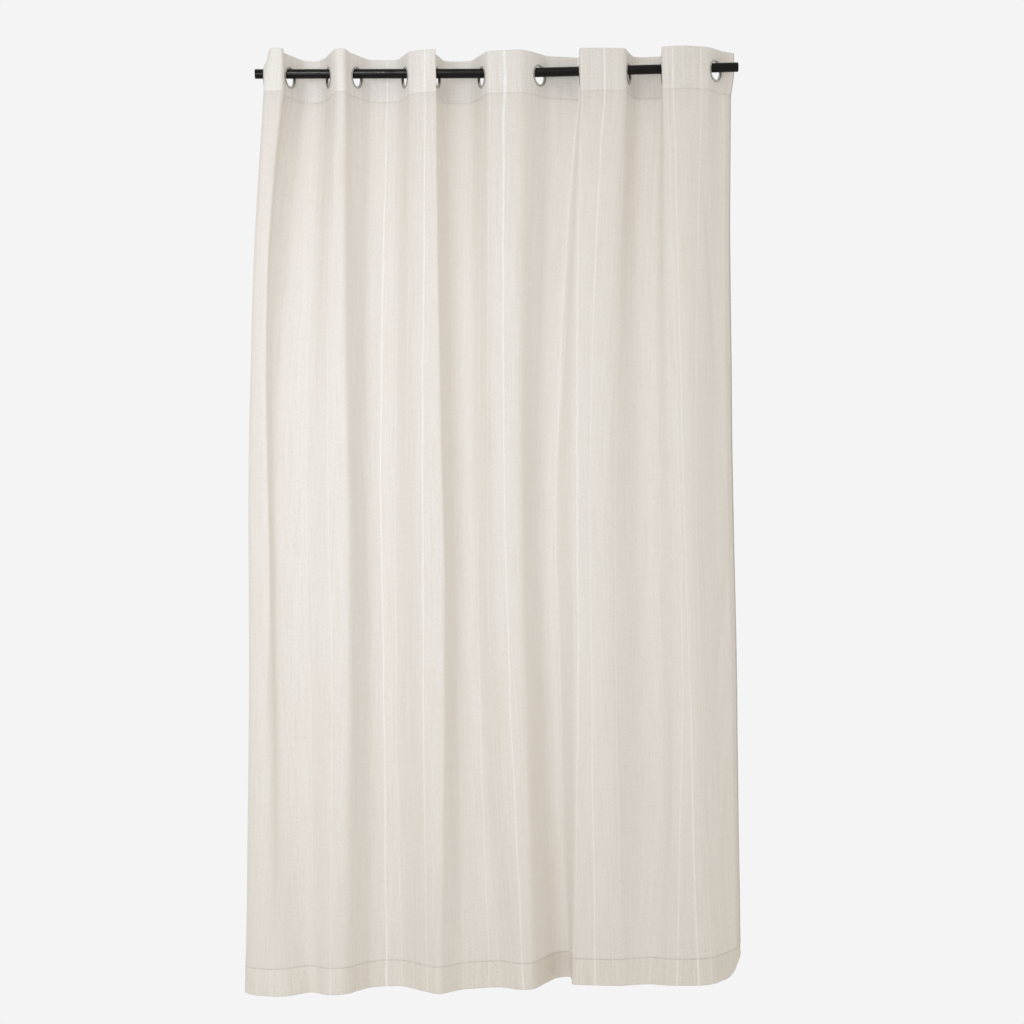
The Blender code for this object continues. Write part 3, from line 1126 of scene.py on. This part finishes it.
    def front_surface(self, rows: np.ndarray) -> np.ndarray:
        """Front face of the cloth before its small relief.

        Args:
            rows: Distances below the top edge.

        Returns:
            Points indexed by row and column.
        """
        plans = tuple(self.plan_points(plan) for plan in (HEADING, WAIST, HEM))
        heading = plans[0]
        hang = np.array([self.rod.height(x) for x in heading[:, 0]]) + self.top_above_rod
        share = self.lean_share(heading)
        from_right = np.linalg.norm(heading - heading[-1], axis=1)
        tuck = eased(1.0 - from_right / self.tuck_width) * self.right_tuck
        surface = np.zeros((len(rows), len(heading), 3))
        for number, below in enumerate(rows):
            plan = self.blended(plans, below)
            if below > self.heading:
                reach = self.smoothing * eased((below - self.heading) / self.smooth_from)
                plan = self.smoothed(plan, max(float(reach), self.smooth_step))
            from_edge = np.linalg.norm(plan - plan[-1], axis=1)
            side = np.clip(1.0 - from_edge / self.curl_width, 0.0, 1.0) ** 2
            down = max(0.0, (below - self.drop + self.hem) / self.hem) ** 2
            lean = max(0.0, 1.0 - below / self.heading) ** self.lean_power
            drawn_in = eased((below - self.tuck_from) / self.tuck_over)
            turned = eased(1.0 - from_edge / self.turn_width) * self.turn_back
            turned = turned * eased((below - self.drop + self.turn_rise) / self.turn_rise)
            surface[number, :, 0] = (plan[:, 0] - tuck * drawn_in
                                     + self.turn_sideways * turned)
            surface[number, :, 1] = plan[:, 1] + self.curl_back * side * down + turned
            surface[number, :, 2] = hang - below + self.curl * side * down
            away = self.from_eyelet(surface[number], 0)[2]
            clear = eased((away - self.flat_to) / self.flat_ease)
            surface[number, :, 0] += share * lean * self.crest_lean * clear
        return surface

    def smoothed(self, plan: np.ndarray, reach: float) -> np.ndarray:
        """Take the sharp bends out of a plan, by a weighted mean along its length.

        Args:
            plan: Its points.
            reach: Spread of the weights, in metres along the cloth.

        Returns:
            The same number of points, with both ends in place.
        """
        runs = np.concatenate([[0.0], np.cumsum(np.linalg.norm(np.diff(plan, axis=0), axis=1))])
        even = np.arange(0.0, runs[-1], self.smooth_step)
        count = math.ceil(3.0 * reach / self.smooth_step)
        weights = np.exp(-0.5 * (np.arange(-count, count + 1) * self.smooth_step / reach) ** 2)
        soft = []
        for values in plan.T:
            line = np.interp(even, runs, values)
            line = np.pad(line, count, mode="reflect", reflect_type="odd")
            soft.append(np.interp(runs, even, np.convolve(line, weights / weights.sum(), "valid")))
        soft = np.array(soft).T
        soft[0], soft[-1] = plan[0], plan[-1]
        return soft

    def lean_share(self, heading: np.ndarray) -> np.ndarray:
        """How far each column follows the first crest, whose top leans to the right.

        Args:
            heading: The plan at the heading.

        Returns:
            A share for each column: rising along the first flank, falling over the crest.
        """
        fold = HEADING.folds[0]
        back, front = HEADING.left[1], fold.left_y
        rising = np.clip((heading[:, 1] - back) / (front - back), 0.0, 1.0)
        falling = np.clip((fold.right_x - heading[:, 0]) / (fold.right_x - fold.left_x), 0.0, 1.0)
        return rising * falling

    @staticmethod
    def normals(surface: np.ndarray) -> np.ndarray:
        """Unit normals of a grid, towards the room.

        Args:
            surface: Points indexed by row and column.

        Returns:
            The normals.
        """
        across = np.gradient(surface, axis=1)
        down = np.gradient(surface, axis=0)
        out = np.cross(down, across)
        return out / np.linalg.norm(out, axis=2)[:, :, None]

    def relief(self, surface: np.ndarray, across: np.ndarray, rows: np.ndarray) -> np.ndarray:
        """Small forms on top of the folds, as heights along the normal.

        Args:
            surface: Points of the front face.
            across: Distance of each column from the left edge.
            rows: Distance of each row below the top edge.

        Returns:
            Heights indexed by row and column.
        """
        u, v = np.meshgrid(across, rows)
        runs = self.runs(surface)
        height = np.zeros_like(u)
        for crease in CREASES:
            share = (rows - crease.below_start) / (crease.below_end - crease.below_start)
            line = crease.across_start + (crease.across_end - crease.across_start) * share
            fade = eased(np.minimum(share, 1.0 - share) / crease.soft_ends)
            for row in np.where(fade > 0.0)[0]:
                away = runs[row] - np.interp(line[row], across, runs[row])
                bell = np.exp(-(away / crease.half_width) ** 2)
                height[row] += crease.height * fade[row] * bell
        return height + self.puckers(runs, u, v)

    def swayed(self, surface: np.ndarray, rows: np.ndarray) -> np.ndarray:
        """Let the cloth stray a little from its even folds, freely below the heading.

        Args:
            surface: Points of the front face.
            rows: Distance of each row below the top edge.

        Returns:
            The moved points.
        """
        moved = surface.copy()
        free = np.clip((rows - self.heading) / self.free_over, 0.0, 1.0)
        for number, stray in enumerate(STRAYS):
            for row in np.where(free > 0.0)[0]:
                down = rows[row] / stray.down + 40.0 * number
                places = (Vector((x / stray.across, y / stray.across, down))
                          for x, y, _ in surface[row])
                offsets = np.array([noise.noise_vector(place)[:2] for place in places])
                moved[row, :, :2] += offsets * stray.size * free[row]
        return moved

    @staticmethod
    def runs(surface: np.ndarray) -> np.ndarray:
        """Distance of each point from the left edge, along its row of the folded cloth."""
        steps = np.linalg.norm(np.diff(surface[:, :, :2], axis=1), axis=2)
        return np.concatenate([np.zeros((len(steps), 1)), np.cumsum(steps, axis=1)], axis=1)

    def puckers(self, runs: np.ndarray, u: np.ndarray, v: np.ndarray) -> np.ndarray:
        """Gathering of the cloth along its stitch lines.

        Args:
            runs: Distance of each point from the left edge, along the folds.
            u: Distance across the cloth of each point.
            v: Distance below the top edge of each point.

        Returns:
            Heights of the same shape.
        """
        height = np.zeros_like(u)
        for below, gather in zip(self.seams, (HEADING_GATHER, HEM_GATHER)):
            height += gather.heights(runs, v - below)
            height -= self.groove * np.exp(-((v - below) / self.groove_half) ** 2)
        body = np.clip((v - self.heading) / 0.1, 0.0, 1.0)
        for edge in (0.0, u[0, -1]):
            height += SIDE_GATHER.heights(v, np.abs(u - edge) - self.side_hem) * body
        return height

    def build(self) -> tuple[bpy.types.Mesh, float]:
        """Make the sheet with its turned edges and its eyelet holes.

        Returns:
            The mesh, and the finished width of the cloth.
        """
        rows = self.below_rows()
        front = self.swayed(self.front_surface(rows), rows)
        across = self.across_columns()
        width = float(across[-1])
        front = front + self.normals(front) * self.relief(front, across, rows)[:, :, None]
        outwards = self.normals(front)
        front, kept = self.pierced(front)

        row_path = self.turned_path(rows, self.heading, self.drop - self.hem)
        column_path = self.turned_path(across, self.side_hem, width - self.side_hem)
        points, flat = [], []
        for row, turned in row_path:
            for column, tucked in column_path:
                back = self.layer_depth(rows[row], across[column], width, turned, tucked)
                points.append(front[row, column] - outwards[row, column] * back)
                flat.append((self.unrolled(across[column], width, tucked),
                             self.unrolled(rows[row], self.drop, turned)))
        faces, span = [], len(column_path)
        for i in range(len(row_path) - 1):
            for j in range(span - 1):
                row = min(row_path[i][0], row_path[i + 1][0])
                column = min(column_path[j][0], column_path[j + 1][0])
                if kept[row, column]:
                    a = i * span + j
                    faces.append((a, a + span, a + span + 1, a + 1))
        mesh = bpy.data.meshes.new("voile_panel")
        mesh.from_pydata(points, [], faces)
        layer = mesh.uv_layers.new(name="threads")
        for loop in mesh.loops:
            layer.data[loop.index].uv = flat[loop.vertex_index]
        mesh.shade_smooth()
        shape = bmesh.new()
        shape.from_mesh(mesh)
        loose = [v for v in shape.verts if not v.link_faces]
        bmesh.ops.delete(shape, geom=loose, context="VERTS")
        shape.to_mesh(mesh)
        shape.free()
        return mesh, width

    @staticmethod
    def turned_path(stops: np.ndarray, first: float, last: float) -> list[tuple[int, int]]:
        """Walk over the front face and over both turned edges behind it.

        Args:
            stops: Distance of each row or column from its first edge.
            first: How far the first turned edge reaches.
            last: Where the last turned edge ends.

        Returns:
            Each row or column, with -1 in the first turned edge, 0 on the front, 1 in the last.
        """
        count, slack = len(stops), 1e-9
        before = [(i, -1) for i in range(count - 1, 0, -1) if stops[i] <= first + slack]
        after = [(i, 1) for i in range(count - 2, -1, -1) if stops[i] >= last - slack]
        return before + [(i, 0) for i in range(count)] + after

    @staticmethod
    def unrolled(at: float, reach: float, turned: int) -> float:
        """Flat coordinate of a point on the front or in an edge turned behind it."""
        return at if turned == 0 else -at if turned < 0 else 2.0 * reach - at

    def layer_depth(self, below: float, across: float, width: float, turned: int,
                    tucked: int) -> float:
        """How far behind the front face a turned layer lies.

        Args:
            below: Distance below the top edge of the point it lies behind.
            across: Distance from the left edge of that point.
            width: Width of the cloth.
            turned: -1 in the turned heading, 1 in the turned hem, 0 elsewhere.
            tucked: -1 in the left side hem, 1 in the right one, 0 elsewhere.

        Returns:
            The depth, in metres.
        """
        edge = min(across, width - across)
        over_side = min(1.0, max(0.0, (self.side_hem + 0.003 - edge) / 0.005))
        depth = 0.0
        if turned:
            seam, fold, gap = ((self.seams[0], below, self.heading_gap) if turned < 0 else
                               (self.seams[1], self.drop - below, self.hem_gap))
            rolled = min(1.0, math.sqrt(max(0.0, fold) / self.rolled_over))
            pinch = 1.0 - self.pinch * math.exp(-((below - seam) / self.pinch_half) ** 2)
            depth = gap * rolled * pinch * (1.0 + 0.5 * over_side)
        if tucked:
            rolled = min(1.0, math.sqrt(edge / self.rolled_over))
            depth = depth * 0.66 + 0.0004 if turned else self.hem_gap * rolled
        return depth

    def pierced(self, front: np.ndarray) -> tuple[np.ndarray, np.ndarray]:
        """Cut the eyelet holes and draw the ragged edge of each onto its circle.

        Args:
            front: Points of the front face.

        Returns:
            The moved points, and True for each quad that stays, by its upper left corner.
        """
        kept, moved = np.ones(front.shape[:2], bool), front.copy()
        middles = (front[:-1, :-1] + front[1:, :-1] + front[:-1, 1:] + front[1:, 1:]) / 4.0
        for index in range(len(CROSSINGS)):
            columns = self.flank_columns(index)
            quads = slice(columns.start, columns.stop - 1)
            kept[:-1, quads] &= self.from_eyelet(middles[:, quads], index)[2] > self.hole
        around = np.zeros(front.shape[:2], int)
        for corner in (kept[:-1, :-1], kept[:-1, 1:], kept[1:, :-1], kept[1:, 1:]):
            around[1:, 1:] += corner
        for index in range(len(CROSSINGS)):
            run = self.eyelets.along(index)
            sideways, upwards, away = self.from_eyelet(front, index)
            rim = (around > 0) & (around < 4) & (away <= self.near_hole)
            columns = self.flank_columns(index)
            rim[:, :columns.start] = rim[:, columns.stop:] = False
            grow = self.hole / away[rim] - 1.0
            steps = (run.x * sideways[rim], run.y * sideways[rim], upwards[rim])
            moved[rim] += np.stack(steps, axis=1) * grow[:, None]
        return moved, kept

    def from_eyelet(self, points: np.ndarray, index: int
                    ) -> tuple[np.ndarray, np.ndarray, np.ndarray]:
        """Offsets of points from an eyelet's centre in the plane of the cloth.

        Args:
            points: The points.
            index: The eyelet, from the left.

        Returns:
            The offset along the cloth, the offset upwards, and their distance.
        """
        centre = self.eyelets.centre(index)
        run = self.eyelets.along(index)
        sideways = (points[..., 0] - centre.x) * run.x + (points[..., 1] - centre.y) * run.y
        upwards = points[..., 2] - centre.z
        return sideways, upwards, np.hypot(sideways, upwards)

    def dress(self, finish: VoileFinish, rings: Sequence[bpy.types.Object]) -> bpy.types.Object:
        """Args:
            finish: Its weave.
            rings: The eyelets and washers set in it; not used.

        Returns:
            The cloth's piece.
        """
        mesh, width = self.build()
        material = finish.material(width, self.drop, STRIPES, self.seams,
                                   self.side_hem - self.seam_inset)
        piece = object_from("voile_panel", mesh, material, "curtain_panel")
        return piece


# Studio


@dataclass
class Studio:
    """Plain pale floor, soft light and a camera level with the curtain's middle."""

    ground: float = 0.905
    around: float = 0.69
    around_tint: tuple = colour(1.02, 0.980, 0.905)
    key_tint: tuple = (0.925, 0.980, 1.09)
    floor_level: float = -2.62
    floor_reach: float = 7.0
    camera_at: tuple = (-0.126, -5.252, -1.164)
    lens: float = 80.9
    turn: float = 1.523
    rise: float = 1.693
    roll: float = 1.155

    def light_ground(self) -> None:
        """Even light from all round, seen as the pale ground."""
        world = bpy.data.worlds.new("pale_ground")
        world.use_nodes = True
        nodes, links = world.node_tree.nodes, world.node_tree.links
        seen = nodes["Background"]
        seen.inputs["Color"].default_value = colour(1.0, 1.0, 1.0)
        seen.inputs["Strength"].default_value = self.ground
        felt = nodes.new("ShaderNodeBackground")
        felt.inputs["Color"].default_value = self.around_tint
        felt.inputs["Strength"].default_value = self.around
        choice = nodes.new("ShaderNodeMixShader")
        links.new(nodes.new("ShaderNodeLightPath").outputs["Is Camera Ray"], choice.inputs[0])
        links.new(felt.outputs[0], choice.inputs[1])
        links.new(seen.outputs[0], choice.inputs[2])
        links.new(choice.outputs[0], nodes["World Output"].inputs["Surface"])
        bpy.context.scene.world = world

    def lay_floor(self, finish: FloorFinish) -> bpy.types.Object:
        """Lay the floor well below the hem.

        Args:
            finish: Its paint.

        Returns:
            The floor.
        """
        shape = bmesh.new()
        bmesh.ops.create_circle(shape, cap_ends=True, segments=64, radius=self.floor_reach)
        bmesh.ops.translate(shape, vec=(0.0, 0.0, self.floor_level), verts=shape.verts)
        mesh = bpy.data.meshes.new("floor")
        shape.to_mesh(mesh)
        shape.free()
        floor = bpy.data.objects.new("floor", mesh)
        mesh.materials.append(finish.material())
        bpy.context.scene.collection.objects.link(floor)
        return floor

    def hang(self, data: bpy.types.Light, place: tuple, aim: tuple) -> bpy.types.Object:
        """Hang a lamp.

        Args:
            data: The lamp's light.
            place: Where it hangs.
            aim: The point it faces.

        Returns:
            The lamp.
        """
        lamp = bpy.data.objects.new(data.name, data)
        lamp.location = place
        lamp.rotation_euler = (Vector(aim) - Vector(place)).to_track_quat("-Z", "Y").to_euler()
        bpy.context.scene.collection.objects.link(lamp)
        return lamp

    def light_cloth(self) -> None:
        """Hang a large round lamp whose light fades softly towards the sides of its cone."""
        data = bpy.data.lights.new("key_lamp", "SPOT")
        data.shadow_soft_size, data.energy, data.color = 0.65, 151.0, self.key_tint
        data.spot_size, data.spot_blend = math.radians(72.0), 1.0
        self.hang(data, (-1.05, -2.85, -0.5), (-0.8, 0.0, -0.85))

    def light_rod(self) -> None:
        """Hang a narrow lamp that is only mirrored by what is glossy."""
        data = bpy.data.lights.new("rod_glint", "AREA")
        data.shape, data.size, data.size_y, data.energy = "RECTANGLE", 0.75, 0.16, 90.0
        lamp = self.hang(data, (-0.62, -5.25, 2.4), (-0.35, 0.0, 0.0))
        lamp.visible_diffuse = lamp.visible_transmission = False

    def set_camera(self) -> None:
        """Stand the camera in front of the curtain."""
        data = bpy.data.cameras.new("front_camera")
        data.lens, data.sensor_width = self.lens, 36.0
        camera = bpy.data.objects.new("front_camera", data)
        bpy.context.scene.collection.objects.link(camera)
        turn, rise, roll = (math.radians(a) for a in (self.turn, self.rise, self.roll))
        ahead = Vector((math.sin(turn) * math.cos(rise), math.cos(turn) * math.cos(rise),
                        math.sin(rise)))
        level = ahead.cross(Vector((0.0, 0.0, 1.0))).normalized()
        above = level.cross(ahead)
        right = level * math.cos(roll) - above * math.sin(roll)
        place = Matrix((right, right.cross(ahead), -ahead)).transposed().to_4x4()
        place.translation = self.camera_at
        camera.matrix_world = place
        bpy.context.scene.camera = camera

    def build(self) -> None:
        """Set up the whole studio."""
        self.light_ground()
        self.lay_floor(FloorFinish())
        self.light_cloth()
        self.light_rod()
        self.set_camera()
        bpy.context.scene.view_settings.view_transform = "Standard"
        LOG.info("studio: lens %.1f mm at %s", self.lens, self.camera_at)


def main() -> None:
    """Build the studio, the rod, the eyelets and the cloth in turn."""
    logging.basicConfig(level=logging.INFO, format="%(name)s: %(message)s")
    noise.seed_set(SWAY_SEED)
    Studio().build()
    rod = Rod()
    rod.dress(BlackFinish())
    eyelets = Eyelets(rod)
    rings = eyelets.dress(MetalFinish())
    Panel(rod, eyelets).dress(VoileFinish(), rings)


if __name__ == "__main__":
    main()
